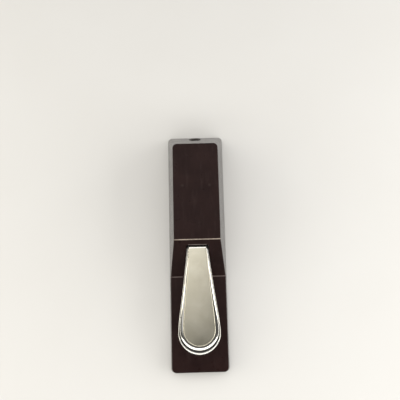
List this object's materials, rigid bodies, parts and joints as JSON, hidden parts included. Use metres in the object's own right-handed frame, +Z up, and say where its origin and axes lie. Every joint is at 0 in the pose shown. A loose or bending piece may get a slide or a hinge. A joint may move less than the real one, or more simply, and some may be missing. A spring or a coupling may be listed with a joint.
{
  "type": "sustain pedal",
  "caption": "Piano-style sustain pedal: black drafted housing with a low front tray and a teardrop nickel pedal on a sprung lever that presses a switch.",
  "frame": {"origin": "on the floor under the middle of the base", "axes": "+X to the player's right, +Y to the rear where the cord enters, +Z up"},
  "size_m": [0.0646, 0.2694, 0.05],
  "materials": {
    "black_moulding": "satin, fine texture",
    "zinc_plated_steel": "zinc plated, satin",
    "satin_nickel": "warm satin nickel plate",
    "polished_nickel": "bright nickel plate",
    "black_rubber": "matte",
    "natural_nylon": "satin",
    "spring_steel": "oiled",
    "switch_case": "satin",
    "switch_button": "satin",
    "tinned_brass": "tin plated",
    "lead_black": "satin",
    "lead_white": "satin",
    "screw_zinc": "zinc plated"
  },
  "bodies": {
    "base": {"upper_housing": "black_moulding", "base_plate": "zinc_plated_steel", "anti_slip_mat": "black_rubber", "bearing_bracket": "zinc_plated_steel", "pivot_axle": "zinc_plated_steel", "return_spring": "spring_steel", "spring_seat": "natural_nylon", "up_stop_bumper": "black_rubber", "down_stop_bumper": "black_rubber", "micro_switch": "switch_case", "switch_bracket": "zinc_plated_steel", "polarity_switch": "switch_case", "switch_lead_a": "lead_black", "switch_lead_b": "lead_white", "cable_grommet": "black_moulding", "cord_clamp": "switch_case", "base_screw_1": "screw_zinc", "base_screw_2": "screw_zinc", "base_screw_3": "screw_zinc", "base_screw_4": "screw_zinc", "base_screw_5": "screw_zinc", "base_screw_6": "screw_zinc", "bracket_screw_1": "screw_zinc", "bracket_screw_2": "screw_zinc", "bracket_screw_3": "screw_zinc", "bracket_screw_4": "screw_zinc", "axle_clip_1": "spring_steel", "axle_clip_2": "spring_steel", "pivot_washer_1": "natural_nylon", "pivot_washer_2": "natural_nylon", "switch_terminal_1": "tinned_brass", "switch_terminal_2": "tinned_brass", "switch_terminal_3": "tinned_brass", "switch_screw_1": "screw_zinc", "switch_screw_2": "screw_zinc", "switch_bracket_screw_1": "screw_zinc", "switch_bracket_screw_2": "screw_zinc", "polarity_terminal_1": "tinned_brass", "polarity_terminal_2": "tinned_brass", "polarity_terminal_3": "tinned_brass", "polarity_screw_1": "screw_zinc", "polarity_screw_2": "screw_zinc", "cord_clamp_screw_1": "screw_zinc", "cord_clamp_screw_2": "screw_zinc"},
    "pedal": {"pedal_lever": "polished_nickel", "pedal_face_plate": "satin_nickel", "face_plate_screw_1": "screw_zinc", "face_plate_screw_2": "screw_zinc", "lever_bush_1": "natural_nylon", "lever_bush_2": "natural_nylon"},
    "plunger": {"switch_plunger": "switch_button"},
    "slider": {"polarity_slider": "lead_white"}
  },
  "joints": [
    {"name": "pedal_pivot", "type": "hinge", "parent": "base", "child": "pedal", "pos_m": [0, 0.062, 0.033], "axis": [1, 0, 0], "range_deg": [0, 5], "stiffness_Nm_per_rad": 8, "springref_deg": -8.59, "deforming": ["return_spring"]},
    {"name": "plunger_press", "type": "slide", "parent": "base", "child": "plunger", "axis": [0, 0, -1], "range_m": [0, 0.0018]},
    {"name": "polarity_slide", "type": "slide", "parent": "base", "child": "slider", "axis": [1, 0, 0], "range_m": [0, 0.004]}
  ],
  "couplings": [
    {"joint": "plunger_press", "follows": "pedal_pivot", "m_per_rad": 0.02}
  ]
}
